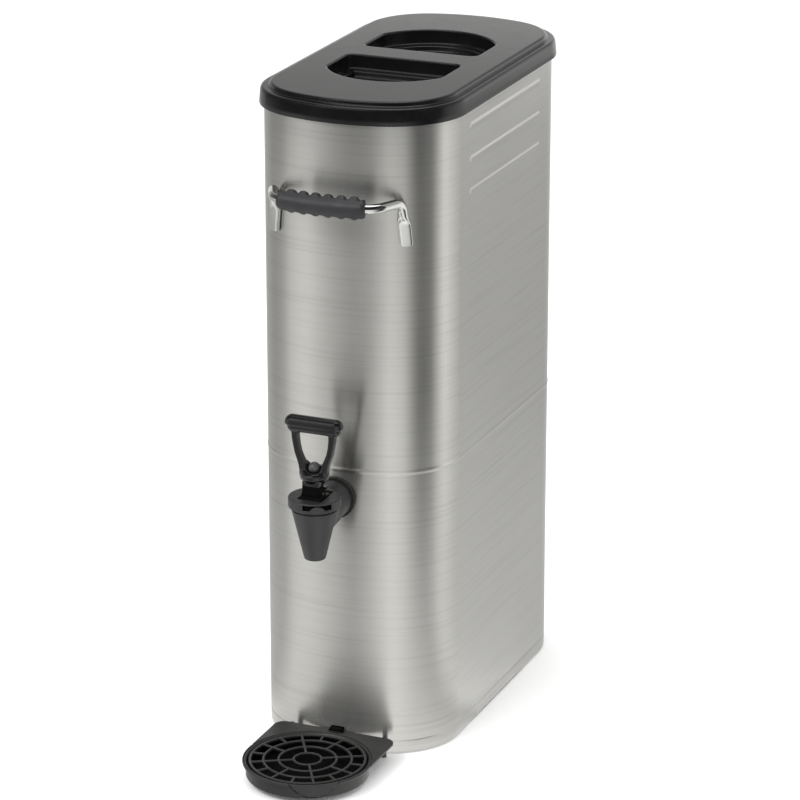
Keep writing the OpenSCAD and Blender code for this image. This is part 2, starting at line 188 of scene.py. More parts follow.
def loft(rings, wrap=False):
    """Quads through a list of rings with the same number of points."""
    n = len(rings[0])
    verts = np.concatenate(rings)
    faces = []
    for i in range(len(rings) - 1):
        skin(i * n, (i + 1) * n, n, faces)
    if wrap:
        skin((len(rings) - 1) * n, 0, n, faces)
    return verts, faces


def capped(rings):
    """A loft with both ends closed."""
    verts, faces = loft(rings)
    n = len(rings[0])
    return verts, faces + [tuple(range(n)), tuple(range(len(verts) - 1, len(verts) - 1 - n, -1))]


def lathe(profile, centre, n=192, wrap=True):
    """A turned shape about an upright axis: profile points are (radius, height)."""
    a = np.arange(n) * 2 * math.pi / n
    rings = [np.stack([centre[0] + r * np.cos(a), centre[1] + r * np.sin(a), np.full(n, z)], 1)
             for r, z in profile]
    return loft(rings, wrap)


def apply_modifiers(ob):
    """Puts the object's mesh, with its modifiers applied, back on the object."""
    bpy.context.view_layer.update()
    graph = bpy.context.evaluated_depsgraph_get()
    me = bpy.data.meshes.new_from_object(ob.evaluated_get(graph), depsgraph=graph)
    ob.modifiers.clear()
    old, ob.data = ob.data, me
    bpy.data.meshes.remove(old)


def cut(ob, cutters):
    """Takes closed (verts, faces) shapes out of the object."""
    tools = [solid("cutter", verts, faces) for verts, faces in cutters]
    for tool in tools:
        mod = ob.modifiers.new("cut", "BOOLEAN")
        mod.operation, mod.solver, mod.object = "DIFFERENCE", "EXACT", tool
    apply_modifiers(ob)
    for tool in tools:
        bpy.data.objects.remove(tool)


# ---------------------------------------------------------------- distance fields for moulded shapes

def grid(lo, hi, step):
    """Sample points every step round a box, as three sparse arrays, and the first point."""
    axes = [np.arange(a - 2.3 * step, b + 3 * step, step) for a, b in zip(lo, hi)]
    return np.meshgrid(*axes, indexing="ij", sparse=True), np.array([a[0] for a in axes])


def nets(f, lo, step):
    """A closed quad mesh of the surface where the sampled distance f is zero."""
    f = np.asarray(f, float)
    f = np.where(f == 0, 1e-9, f)
    size = np.array(f.shape) - 1
    corners = [(i, j, k) for i in (0, 1) for j in (0, 1) for k in (0, 1)]
    neg = f < 0
    count = sum(neg[i:i + size[0], j:j + size[1], k:k + size[2]].astype(np.int8) for i, j, k in corners)
    cells = np.argwhere((count > 0) & (count < 8))
    index = -np.ones(size, int)
    index[tuple(cells.T)] = np.arange(len(cells))
    total, hits = np.zeros((len(cells), 3)), np.zeros(len(cells))
    for a in corners:
        for axis in range(3):
            if a[axis] == 0:
                step_to = np.eye(3, dtype=int)[axis]
                fa, fb = f[tuple((cells + a).T)], f[tuple((cells + a + step_to).T)]
                cross = (fa < 0) != (fb < 0)
                t = np.where(cross, fa / np.where(cross, fa - fb, 1), 0)
                total += (np.array(a) + t[:, None] * step_to) * cross[:, None]
                hits += cross
    verts = (cells + total / hits[:, None]) * step + lo
    faces = []
    for axis in range(3):
        du, dv = np.eye(3, dtype=int)[(axis + 1) % 3], np.eye(3, dtype=int)[(axis + 2) % 3]
        a = neg[tuple(slice(0, -1) if d == axis else slice(1, -1) for d in range(3))]
        b = neg[tuple(slice(1, None) if d == axis else slice(1, -1) for d in range(3))]
        start = np.argwhere(a != b) + 1 - np.eye(3, dtype=int)[axis]
        quad = np.stack([index[tuple((start - s).T)] for s in (0 * du, du, du + dv, dv)], 1)
        out = ~neg[tuple(start.T)]
        quad[out] = quad[out][:, ::-1]
        faces.append(quad)
    return verts, np.concatenate(faces)


def smin(a, b, k):
    """The nearer of two distances, blended into a fillet of about k."""
    h = np.clip(0.5 + 0.5 * (b - a) / k, 0, 1)
    return b + (a - b) * h - k * h * (1 - h)


def smax(a, b, k):
    """The farther of two distances, with the edge between them eased by about k."""
    return -smin(-a, -b, k)


def f_box(p, lo, hi, r):
    """Box with rounded edges, from corner lo to corner hi."""
    q = [np.abs(c - (a + b) / 2) - (b - a) / 2 + r for c, a, b in zip(p, lo, hi)]
    outer = np.sqrt(sum(np.maximum(c, 0) ** 2 for c in q))
    return outer + np.minimum(np.maximum(np.maximum(q[0], q[1]), q[2]), 0) - r


def f_disc(p, centre, radius, lo, hi, r, axis=2):
    """Round disc or rod along an axis, with rounded edges."""
    u, v = [d for d in range(3) if d != axis]
    rho = np.sqrt((p[u] - centre[0]) ** 2 + (p[v] - centre[1]) ** 2) - radius + r
    z = np.abs(p[axis] - (lo + hi) / 2) - (hi - lo) / 2 + r
    return np.sqrt(np.maximum(rho, 0) ** 2 + np.maximum(z, 0) ** 2) + np.minimum(np.maximum(rho, z), 0) - r


def f_ball(p, centre, radius):
    return np.sqrt(sum((c - a) ** 2 for c, a in zip(p, centre))) - radius


def f_rod(p, centre, half, radius):
    """Round-ended rod along X, centred on a (y, z) point, its ends' centres half a length away."""
    past = np.maximum(np.abs(p[0]) - half, 0)
    return np.sqrt(past ** 2 + (p[1] - centre[0]) ** 2 + (p[2] - centre[1]) ** 2) - radius


# ---------------------------------------------------------------- materials

def nodes_of(name):
    """A new material, its nodes, its links and its shader."""
    m = bpy.data.materials.new(name)
    m.use_nodes = True
    return m, m.node_tree.nodes, m.node_tree.links, m.node_tree.nodes["Principled BSDF"]


def add_noise(n, l, vector, scale, detail, rough=0.6):
    t = n.new("ShaderNodeTexNoise")
    t.inputs["Scale"].default_value = scale
    t.inputs["Detail"].default_value = detail
    t.inputs["Roughness"].default_value = rough
    l.new(vector, t.inputs["Vector"])
    return t.outputs["Fac"]


def spread(n, l, value, lo, hi, src=(0.3, 0.7)):
    """A number that goes from lo to hi as a value crosses src."""
    r = n.new("ShaderNodeMapRange")
    r.inputs["From Min"].default_value, r.inputs["From Max"].default_value = src
    r.inputs["To Min"].default_value, r.inputs["To Max"].default_value = lo, hi
    l.new(value, r.inputs["Value"])
    return r.outputs["Result"]


def tint(n, l, value, dark, light, src=(0.3, 0.7)):
    """A colour that goes from dark to light with a value."""
    r = n.new("ShaderNodeValToRGB")
    r.color_ramp.elements[0].position, r.color_ramp.elements[1].position = src
    r.color_ramp.elements[0].color = (*dark, 1)
    r.color_ramp.elements[1].color = (*light, 1)
    l.new(value, r.inputs["Fac"])
    return r.outputs["Color"]


def bumps(n, l, heights, shader):
    """Stacked bump nodes: heights are (value, depth in metres, strength)."""
    last = None
    for value, depth, strength in heights:
        b = n.new("ShaderNodeBump")
        b.inputs["Distance"].default_value = depth
        b.inputs["Strength"].default_value = strength
        l.new(value, b.inputs["Height"])
        if last:
            l.new(last, b.inputs["Normal"])
        last = b.outputs["Normal"]
    l.new(last, shader.inputs["Normal"])


def mapped(n, l, source, scale):
    m = n.new("ShaderNodeMapping")
    m.inputs["Scale"].default_value = scale
    l.new(source, m.inputs["Vector"])
    return m.outputs["Vector"]


def brushed_sheet():
    """Stainless sheet with a horizontal brushed grain that follows its run."""
    m, n, l, s = nodes_of("brushed_sheet")
    uv = n.new("ShaderNodeUVMap")
    uv.uv_map = "grain"
    fine = add_noise(n, l, mapped(n, l, uv.outputs["UV"], (9, 2600, 1)), 1, 4, 0.7)
    broad = add_noise(n, l, mapped(n, l, uv.outputs["UV"], (5, 330, 1)), 1, 3, 0.6)
    cloud = add_noise(n, l, mapped(n, l, uv.outputs["UV"], (9, 6, 1)), 1, 2, 0.5)
    waves = add_noise(n, l, mapped(n, l, uv.outputs["UV"], (16, 3.5, 1)), 1, 1, 0.4)
    mix = n.new("ShaderNodeMath")
    mix.operation = "ADD"
    l.new(fine, mix.inputs[0])
    l.new(broad, mix.inputs[1])
    colour = tint(n, l, mix.outputs[0], (0.45, 0.445, 0.425), (0.52, 0.515, 0.495), (0.75, 1.25))
    l.new(colour, s.inputs["Base Color"])
    l.new(spread(n, l, cloud, 0.27, 0.34), s.inputs["Roughness"])
    s.inputs["Metallic"].default_value = 1
    s.inputs["Anisotropic"].default_value = 0.75
    s.inputs["Anisotropic Rotation"].default_value = 0.25
    tangent = n.new("ShaderNodeTangent")
    tangent.direction_type = "UV_MAP"
    tangent.uv_map = "grain"
    l.new(tangent.outputs["Tangent"], s.inputs["Tangent"])
    bumps(n, l, [(waves, 0.0012, 0.5), (broad, 0.00002, 0.25), (fine, 0.00001, 0.2)], s)
    return m


def metal(name, dark, light, rough, scale=(40, 40, 900), depth=0.00001):
    """Plain metal with a faint drawn or brushed texture."""
    m, n, l, s = nodes_of(name)
    c = n.new("ShaderNodeTexCoord")
    grain = add_noise(n, l, mapped(n, l, c.outputs["Object"], scale), 1, 4)
    blot = add_noise(n, l, c.outputs["Object"], 30, 2)
    l.new(tint(n, l, grain, dark, light), s.inputs["Base Color"])
    l.new(spread(n, l, blot, rough * 0.8, rough * 1.25), s.inputs["Roughness"])
    s.inputs["Metallic"].default_value = 1
    bumps(n, l, [(grain, depth, 0.3)], s)
    return m


def moulding(name, dark, light, rough, grain, depth, coat=0.0, waves=0.0, specular=0.5, ior=1.5):
    """Moulded plastic or rubber: a fine surface texture, slight mottling and soft scuffs.

    grain and depth are the texture's scale and height, and waves is the height of a slow unevenness."""
    m, n, l, s = nodes_of(name)
    c = n.new("ShaderNodeTexCoord")
    fine = add_noise(n, l, c.outputs["Object"], grain, 3)
    mottle = add_noise(n, l, c.outputs["Object"], 45, 3)
    scuff = add_noise(n, l, c.outputs["Object"], 70, 5)
    l.new(tint(n, l, mottle, dark, light), s.inputs["Base Color"])
    l.new(spread(n, l, scuff, rough * 0.85, rough * 1.2), s.inputs["Roughness"])
    s.inputs["Specular IOR Level"].default_value = specular
    s.inputs["IOR"].default_value = ior
    s.inputs["Coat Weight"].default_value = coat
    s.inputs["Coat Roughness"].default_value = 0.12
    layers = [(fine, depth, 0.5)]
    if waves:
        layers.insert(0, (mottle, waves, 0.3))
    bumps(n, l, layers, s)
    return m


STEEL = brushed_sheet()
INNER = metal("inner_sheet", (0.50, 0.495, 0.48), (0.60, 0.595, 0.58), 0.33, scale=(30, 900, 30))
CHROME = metal("chrome", (0.60, 0.60, 0.59), (0.68, 0.68, 0.67), 0.08, scale=(60, 60, 60), depth=0.000004)
BRIGHT = metal("bright_steel", (0.55, 0.55, 0.54), (0.66, 0.66, 0.65), 0.25)
LID = moulding("lid_plastic", (0.003, 0.003, 0.0035), (0.005, 0.005, 0.0055), 0.2, 900, 0.000005,
               coat=0.1, waves=0.00004, ior=1.38)
TAP = moulding("tap_plastic", (0.011, 0.011, 0.012), (0.016, 0.016, 0.017), 0.42, 1200, 0.00003)
LEVER = moulding("lever_plastic", (0.002, 0.002, 0.0022), (0.004, 0.004, 0.0045), 0.22, 1000, 0.000005,
                 coat=0.2, specular=0.4)
BUTTON = moulding("button_plastic", (0.04, 0.04, 0.042), (0.055, 0.055, 0.058), 0.35, 1000, 0.00001)
# Near-black material that stands for shade: painted shade in recesses, creases and under overhangs.
PAINTED_SHADE = moulding("painted_shade", (0.001, 0.001, 0.001), (0.002, 0.002, 0.002), 0.7, 1300, 0.00002,
                specular=0.06)
TRAY = moulding("tray_plastic", (0.006, 0.006, 0.006), (0.010, 0.010, 0.010), 0.4, 1300, 0.00004)
GRIP = moulding("grip_rubber", (0.012, 0.012, 0.014), (0.020, 0.020, 0.023), 0.5, 1500, 0.00005)
RUBBER = moulding("dark_rubber", (0.004, 0.0045, 0.004), (0.008, 0.009, 0.008), 0.6, 1500, 0.00005)
NYLON = moulding("black_nylon", (0.018, 0.018, 0.018), (0.03, 0.03, 0.03), 0.45, 900, 0.00003)
ACETAL = moulding("white_acetal", (0.62, 0.62, 0.59), (0.72, 0.72, 0.69), 0.35, 900, 0.00001)
SILICONE = moulding("grey_silicone", (0.42, 0.42, 0.41), (0.52, 0.52, 0.50), 0.5, 700, 0.00002)


# ---------------------------------------------------------------- the oval

# Half-length of the side ribs to the end of their round ends, and their half-width and height
RIB_HALF, RIB_R, RIB_OUT = 80.2, 3.3, 0.8


def oval_base():
    """Points and outward normals round the body, the run along it, and the whole way round.

    The flat sides have close points where the ribs end, and wider ones elsewhere."""
    stops = (-CORNER_Y, -RIB_HALF - 6.8, -RIB_HALF + 4.2, RIB_HALF - 4.2, RIB_HALF + 6.8, CORNER_Y)
    counts = (6, 22, 44, 22, 6)
    side = np.concatenate([np.linspace(a, b, n, False) for a, b, n in zip(stops, stops[1:], counts)])
    lean = math.asin(CORNER_X / (BOW_R - CORNER_R))
    turn, bow = math.pi / 2 - lean, 2 * lean
    pts, nrm = [], []

    def arc(cx, cy, r, start, sweep, n):
        for a in start + sweep * np.arange(n) / n:
            pts.append((cx + r * math.cos(a), cy + r * math.sin(a)))
            nrm.append((math.cos(a), math.sin(a)))

    for half in (1, -1):
        for y in side:
            pts.append((half * HALF_W, half * y))
            nrm.append((half, 0))
        start = 0 if half == 1 else math.pi
        arc(half * CORNER_X, half * CORNER_Y, CORNER_R, start, turn, 40)
        arc(0, half * BOW_Y, BOW_R, start + turn, bow, 44)
        arc(-half * CORNER_X, half * CORNER_Y, CORNER_R, start + turn + bow, turn, 40)
    pts, nrm = np.array(pts), np.array(nrm)
    run = np.concatenate([[0], np.cumsum(np.linalg.norm(np.diff(pts, axis=0), axis=1))])
    return pts, nrm, run, run[-1] + np.linalg.norm(pts[0] - pts[-1])


OVAL, OVAL_N, OVAL_RUN, OVAL_LEN = oval_base()


def oval_ring(inset, z):
    return np.column_stack([OVAL - inset * OVAL_N, np.full(len(OVAL), z)])


# ---------------------------------------------------------------- body wall

RIB_Z = (529.0, 501.0, 474.0)
BEAD_Z, BEAD_HALF, BEAD_OUT = 251.0, 2.5, 0.45
SHANK_HOLE_R = 7.9
SLOT_HALF, SLOT_LOW, SLOT_HIGH = 6.2, 17.1, 21.3


def raise_ribs(ring, z):
    """Presses the side ribs out of a ring of the wall."""
    near = min(RIB_Z, key=lambda q: abs(q - z))
    if abs(near - z) < 5:
        far_y = np.maximum(np.abs(ring[:, 1]) - (RIB_HALF - RIB_R), 0)
        lift = RIB_OUT * (1 - smooth(np.hypot(far_y, z - near), RIB_R - 2.7, RIB_R))
        flat = np.abs(OVAL_N[:, 1]) < 1e-6
        ring[:, 0] += np.where(flat, np.sign(ring[:, 0]) * lift, 0)


def body_wall():
    """The oval wall: pairs are (inset, height), up the outside, over the rolled rim and down inside."""
    rib_rows = [z + d for z in RIB_Z for d in np.arange(-4.5, 4.6, 0.45)]
    spans = [float(z) for z in (30, 80, 140, 200, 240, 262, 300, 350, 400, 440, 460, 487, 515, 540)]
    outer = [(0.7, FOOT_Z), (0.2, FOOT_Z + 0.25), (0, FOOT_Z + 0.8), (0, FOOT_Z + 5), (0, 11.3), (0.12, 11.8),
             (0.4, 12.1), (0.4, 12.5), (0.1, 12.9), (0, 13.4)]
    bead = [(-BEAD_OUT * (0.5 + 0.5 * math.cos(math.pi * d / BEAD_HALF)), BEAD_Z + d)
            for d in np.linspace(-BEAD_HALF, BEAD_HALF, 15)]
    bead += [(0, BEAD_Z - BEAD_HALF - 0.5), (0, BEAD_Z + BEAD_HALF + 0.5)]
    outer += sorted([(0, z) for z in spans + rib_rows] + bead, key=lambda q: q[1])
    outer += [(0, WALL_TOP - 3.4), (0, WALL_TOP - 1.2)]
    rim = [(1.5 - 1.5 * math.cos(a), WALL_TOP - 1.5 + 1.5 * math.sin(a))
           for a in np.radians(np.arange(0, 271, 22.5))]
    inner = [(1.0, WALL_TOP - 3.8)] + [(1.0, z) for z in sorted(spans + rib_rows, reverse=True)]
    inner += [(1.0, 12.6), (1.6, 12.3), (2.0, 11.6), (2.0, FOOT_Z + 5), (2.0, FOOT_Z + 0.5), (1.6, FOOT_Z)]
    rings = []
    for inset, z in outer + rim + inner:
        ring = oval_ring(inset, z)
        raise_ribs(ring, z)
        rings.append(ring)
    verts, faces = loft(rings, wrap=True)
    run = np.tile(OVAL_RUN, len(rings))
    ob = piece("brushed_wall", "body_shell", verts, faces, STEEL, 50, (run, verts[:, 2], OVAL_LEN))
    a = np.arange(64) * math.pi / 32
    through = (-HALF_D - 5, -HALF_D + 5)
    hole = [np.stack([SHANK_HOLE_R * np.cos(a), np.full(64, y), SHANK_Z + SHANK_HOLE_R * np.sin(a)], 1)
            for y in through]
    slot = [np.array([(-SLOT_HALF, y, SLOT_LOW), (SLOT_HALF, y, SLOT_LOW),
                      (SLOT_HALF, y, SLOT_HIGH), (-SLOT_HALF, y, SLOT_HIGH)]) for y in through]
    cut(ob, [capped(rings) for rings in (hole, slot)])


# ---------------------------------------------------------------- lid

# The bar's place and half-width, and each D-shaped well: half-width, straight side, bow and corner radius
BAR_Y, BAR_HALF = 2.0, 15.0
WELL_X, WELL_SIDE, WELL_REACH, WELL_CORNER = 51.0, 45.0, 32.0, 7.0
# Depths below the lid's top: the platform's edge, the skirt's foot, the wells' ledge and their floor
LID_RIM, LID_FOOT, LEDGE, WELL_FLOOR = 3.8, 17.8, 12.0, 16.5


def arc_points(cx, cy, r, start, end, n):
    return [(cx + r * math.cos(a), cy + r * math.sin(a)) for a in np.linspace(start, end, n, False)]


def well_ring(side, inset, z):
    """A finger well's outline drawn in by inset: side 1 is the rear well, -1 the front one."""
    arc_r = (WELL_X ** 2 + WELL_REACH ** 2) / (2 * WELL_REACH)
    cy = WELL_SIDE + WELL_REACH - arc_r
    half, base, big, r = WELL_X - inset, inset, arc_r - inset, max(WELL_CORNER - inset, 0.8)
    corner_x = half - r
    corner_y = cy + math.sqrt((big - r) ** 2 - corner_x ** 2)
    meet = math.atan2(corner_y - cy, corner_x)
    pts = [(x, base) for x in np.linspace(-corner_x, corner_x, 40, False)]
    pts += arc_points(corner_x, base + r, r, -math.pi / 2, 0, 14)
    pts += [(half, y) for y in np.linspace(base + r, corner_y, 14, False)]
    pts += arc_points(corner_x, corner_y, r, 0, meet, 10)
    pts += arc_points(0, cy, big, meet, math.pi - meet, 60)
    pts += arc_points(-corner_x, corner_y, r, math.pi - meet, math.pi, 10)
    pts += [(-half, y) for y in np.linspace(corner_y, base + r, 14, False)]
    pts += arc_points(-corner_x, base + r, r, math.pi, 1.5 * math.pi, 14)
    p = np.array(pts)
    return np.column_stack([p[:, 0], BAR_Y + side * (BAR_HALF + p[:, 1]), np.full(len(p), z)])


def lid_shell():
    """The lid as one closed shell: pairs are (inset, height) for its skirt, underside and wells."""
    top = high("lid")[2]
    rim, base, ledge, floor = top - LID_RIM, top - LID_FOOT, top - LEDGE, top - WELL_FLOOR
    bm = bmesh.new()

    def bridge(a, b):
        for j in range(len(a)):
            k = (j + 1) % len(a)
            bm.faces.new((a[j], a[k], b[k], b[j]))

    def rows_of(rings):
        """Skins a run of rings and returns their rows of vertices."""
        rows = [[bm.verts.new(p) for p in ring] for ring in rings]
        for a, b in zip(rows, rows[1:]):
            bridge(a, b)
        return rows

    def fill(rows):
        """Fills the flat area that these rows of vertices bound."""
        edges = []
        for row in rows:
            for pair in zip(row, row[1:] + row[:1]):
                edges.append(bm.edges.get(pair) or bm.edges.new(pair))
        bmesh.ops.triangle_fill(bm, use_beauty=True, edges=edges)

    skirt = [(-1.9, base), (-3.4, base), (-3.8, base + 0.25), (-4.0, base + 0.8), (-3.65, base + 4.8),
             (-3.2, base + 9.6), (-3.0, base + 11.2), (-2.7, base + 12.3), (-2.3, base + 13.1),
             (-1.7, base + 13.7), (-0.8, rim - 0.04), (0.2, rim), (2.4, rim), (3.2, rim + 0.02),
             (3.9, rim + 0.2), (4.5, rim + 0.7), (4.8, rim + 1.4), (4.95, rim + 2.3), (5.15, rim + 2.9),
             (5.6, rim + 3.4), (6.3, rim + 3.7), (7.2, top), (8.2, top)]
    under = [(-1.5, base + 0.4), (-1.5, WALL_TOP - 0.1), (-1.2, WALL_TOP + 0.25), (-0.8, WALL_TOP + 0.35),
             (2.6, WALL_TOP + 0.35), (3.0, WALL_TOP + 0.7), (3.0, rim - 2.6), (3.3, rim - 2.2),
             (6.3, rim - 2.2), (6.7, rim - 1.8), (6.7, top - 2.6), (7.1, top - 2.2), (8.5, top - 2.2)]
    wall_in = [(-2.0, top), (-1.2, top), (-0.6, top - 0.12), (-0.1, top - 0.5), (0.15, top - 1.1),
               (0.2, top - 2), (0.7, ledge + 1.4), (0.9, ledge + 0.7), (1.4, ledge + 0.2), (2.2, ledge),
               (7.6, ledge), (8.5, ledge - 0.05), (9.1, ledge - 0.3), (9.4, ledge - 0.9),
               (9.7, floor + 1.2), (10.1, floor + 0.4), (10.9, floor), (12, floor)]
    wall_out = [(-4.2, top - 2.2), (-2.8, top - 2.25), (-2.3, top - 2.8), (-2.2, top - 4),
                (-1.9, ledge - 1.2), (-1.5, ledge - 2.0), (-0.8, ledge - 2.2), (5.8, ledge - 2.2),
                (6.7, ledge - 2.5), (7.0, floor - 1.4), (7.5, floor - 2.1), (8.4, floor - 2.2),
                (10, floor - 2.2)]
    outside = rows_of([oval_ring(i, z) for i, z in skirt])
    inside = rows_of([oval_ring(i, z) for i, z in under])
    bridge(inside[0], outside[0])
    tops, unders = [outside[-1]], [inside[-1]]
    for side in (1, -1):
        for profile, edges in ((wall_in, tops), (wall_out, unders)):
            rows = rows_of([well_ring(side, i, z) for i, z in profile])
            edges.append(rows[0])
            fill([rows[-1]])
    fill(tops)
    fill(unders)
    bm.verts.index_update()
    verts = [v.co[:] for v in bm.verts]
    faces = [[v.index for v in f.verts] for f in bm.faces]
    bm.free()
    piece("lid_moulding", "lid", verts, faces, LID, 60)


# ---------------------------------------------------------------- carrying handles

# The wire's path: a wide bow, a turn back towards the wall and a drop into each flattened tab.
# LEG is the heading of the leg in degrees, and BOW_HALF half of the bow's sweep
WIRE_R, BOW_R_PATH, BOW_HALF, TURN_R, LEG, DROP_R = 4.0, 198.0, 10.0, 18.0, 72.0, 9.0
HANDLE_Z = mid("handle_front_grip")[2]
BOW_TIP_Y = low("handle_front_wire")[1] + WIRE_R
BOW_RUN = BOW_R_PATH * math.radians(BOW_HALF)
TURN_RUN = TURN_R * math.radians(LEG - BOW_HALF)
# Each tab's foot, the height where it is fully flat, its width and thickness, its place round the
# wall's corner in degrees, and how much further round its foot is
TAB_LOW, TAB_FLAT, TAB_W, TAB_T = low("handle_front_wire")[2], 462.0, 10.7, 4.5
TAB_TOP = HANDLE_Z - DROP_R
TAB_LEAN, TAB_SPLAY = 30.0, 3.0
GRIP_HALF, GRIP_R, GRIP_PITCH, GRIP_ROUND = 37.0, 8.0, 11.0, 3.0


def bow_point(along):
    """Place and heading on the bow, at a distance along the wire from its middle."""
    centre = np.array([0, BOW_TIP_Y + BOW_R_PATH])
    if along <= BOW_RUN:
        a = math.degrees(along / BOW_R_PATH)
        p = centre + BOW_R_PATH * np.array([sind(a), -cosd(a)])
    else:
        a = BOW_HALF + math.degrees((along - BOW_RUN) / TURN_R)
        centre = centre + (BOW_R_PATH - TURN_R) * np.array([sind(BOW_HALF), -cosd(BOW_HALF)])
        p = centre + TURN_R * np.array([sind(a), -cosd(a)])
    return np.array([p[0], p[1], HANDLE_Z]), a


def off_wall(gap, lean):
    """A plan point this far off the wall's front corner, lean degrees round it."""
    return np.array([CORNER_X, -CORNER_Y]) + (CORNER_R + gap) * np.array([sind(lean), -cosd(lean)])


def tab_lean(z):
    """The tab's place round the wall's corner: it leans outwards as it goes down."""
    return TAB_LEAN + TAB_SPLAY * (TAB_TOP - z) / (TAB_TOP - TAB_LOW)


def section(place, heading, pitch, w, t, square, n):
    """A closed section across the wire; square goes from 0, round, to 1, a flat bar's."""
    a = np.arange(n) * 2 * math.pi / n
    e = 1 - 0.55 * square
    x = w * np.sign(np.cos(a)) * np.abs(np.cos(a)) ** e
    y = t * np.sign(np.sin(a)) * np.abs(np.sin(a)) ** e
    u = np.array([sind(heading), -cosd(heading), 0])
    v = np.array([sind(pitch) * cosd(heading), sind(pitch) * sind(heading), cosd(pitch)])
    return place + x[:, None] * u + y[:, None] * v


def mirrored(rings):
    """The whole handle's rings from one half's, which starts at the middle."""
    left = [r * np.array([-1, 1, 1]) for r in rings[:0:-1]]
    return left + rings


def front_and_rear(name, kind, verts, faces, material, sharp=None):
    """The front handle's piece, and its mirror image on the back."""
    for end, sign in (("front", 1), ("rear", -1)):
        piece(f"{name}_{end}", f"handle_{end}_{kind}", verts * np.array([1, sign, 1]), faces, material, sharp)


def handle_wires():
    n = 40
    rings = []
    runs = (np.linspace(0, BOW_RUN, 14, False), np.linspace(BOW_RUN, BOW_RUN + TURN_RUN, 24))
    for s in np.concatenate(runs):
        p, a = bow_point(s)
        rings.append(section(p, a, 0, WIRE_R, WIRE_R, 0, n))
    end = off_wall(WIRE_R, TAB_LEAN)
    for pitch in range(0, 91, 6):
        run = DROP_R * (1 - sind(pitch))
        fall = DROP_R * (1 - cosd(pitch))
        place = np.array([end[0] - run * cosd(LEG), end[1] - run * sind(LEG), HANDLE_Z - fall])
        rings.append(section(place, LEG, pitch, WIRE_R, WIRE_R, 0, n))
    for part in np.linspace(0, 1, 13)[1:]:
        ease = float(smooth(part, 0, 1))
        w, t = WIRE_R + ease * (TAB_W / 2 - WIRE_R), WIRE_R + ease * (TAB_T / 2 - WIRE_R)
        z = TAB_TOP + part * (TAB_FLAT - TAB_TOP)
        p = off_wall(t + 0.05, tab_lean(z))
        turn = LEG + ease * (90 + tab_lean(z) - LEG)
        rings.append(section(np.array([p[0], p[1], z]), turn, 90, w, t, ease, n))
    rounding = ((13, 1), (8, 1), (4, 1), (2, 0.99), (1, 0.96), (0.4, 0.9), (0.08, 0.8), (0, 0.62))
    for rise, share in rounding:
        z = TAB_LOW + rise
        thin = TAB_T / 2 * (0.55 + 0.45 * share)
        p = off_wall(TAB_T / 2 + 0.05, tab_lean(z))
        rings.append(section(np.array([p[0], p[1], z]), 90 + tab_lean(z), 90, TAB_W / 2 * share, thin, 1, n))
    verts, faces = capped(mirrored(rings))
    front_and_rear("chrome_wire", "wire", verts, faces, CHROME)


def handle_grips():
    """Sleeves that are smooth in front, with finger ribs behind and shallow grooves between them."""
    n = 72
    ribs = [(k + 0.5) * GRIP_PITCH for k in range(3)]
    grooves = [k * GRIP_PITCH for k in range(4)]
    angle = np.arange(n) * 2 * math.pi / n
    behind = smooth(-np.cos(angle), -0.25, 0.15)
    deep = smooth(-np.cos(angle), -0.55, -0.1)
    outer, bore = [], []
    straight = GRIP_HALF - GRIP_ROUND
    tip = straight + GRIP_ROUND * np.sin(np.linspace(0, math.pi / 2, 12))
    for s in np.concatenate([np.arange(0, straight, 0.35), tip]):
        p, a = bow_point(s)
        bump = sum(math.sqrt(max(0.0, 1 - ((s - c) / 3.3) ** 2)) for c in ribs)
        dip = sum(math.exp(-((s - c) / 1.5) ** 2) for c in grooves)
        edge = max(0.0, s - straight) / GRIP_ROUND
        base = GRIP_R - 2.6 * (1 - math.sqrt(max(0.0, 1 - edge ** 2)))
        grow = base + 1.9 * bump * behind - 0.9 * dip * deep
        u = np.array([sind(a), -cosd(a), 0])
        ring = p + (grow * np.cos(angle))[:, None] * u + (grow * np.sin(angle))[:, None] * np.array([0, 0, 1])
        outer.append(ring)
        bore.append(section(p, a, 0, WIRE_R + 0.08, WIRE_R + 0.08, 0, n))
    verts, faces = loft(mirrored(outer) + mirrored(bore)[::-1], wrap=True)
    front_and_rear("rubber_grip", "grip", verts, faces, GRIP, 60)


# ---------------------------------------------------------------- faucet

SPOUT_LOW, SPOUT_R = low("faucet_body")[2], 8.75
CONE_TOP, CONE_R = 232.0, 19.2
BARREL_R, SHANK_R = 15.8, 7.85
BONNET_LOW, BONNET_TOP, BONNET_R = 233.9, high("bonnet")[2], high("bonnet")[0]
# The bonnet's pocket is turned from the front by this many degrees
POCKET_TURN, POCKET_Z, POCKET_HALF, POCKET_DEEP = 30, 238.9, 11.6, 2.4
# The lever's pivot and cross pin, its hub's ring and the bar with the ridge under it
TOE_Y, TOE_Z, PIN_Z = TAP_Y - 9, 241.2, mid("handle_pin")[2]
NECK_HALF, RING_Z, RING_R, RING_THICK = 7.4, 261.8, 7.4, 3.7
BAR_R, BAR_END, RIDGE_R, RIDGE_END, RIDGE_DROP = 6.4, 19.0, 4.7, 18.6, 3.4
TBAR_Z = high("tap_handle")[2] - BAR_R
BALL_R = 4.9
BALL_Z = high("stem_cap")[2] - BALL_R
# Each arm's middle line and radius as it rises: (distance from the middle, height, radius)
ARM = ((8.3, 258.5, 3.4), (9.0, 264, 3.2), (10.4, 270, 2.9), (12.2, 274.5, 2.6), (13.9, 279, 2.5),
       (15.1, 284.5, 2.5), (16.1, 291, 2.7), (16.5, 303, 3.1))


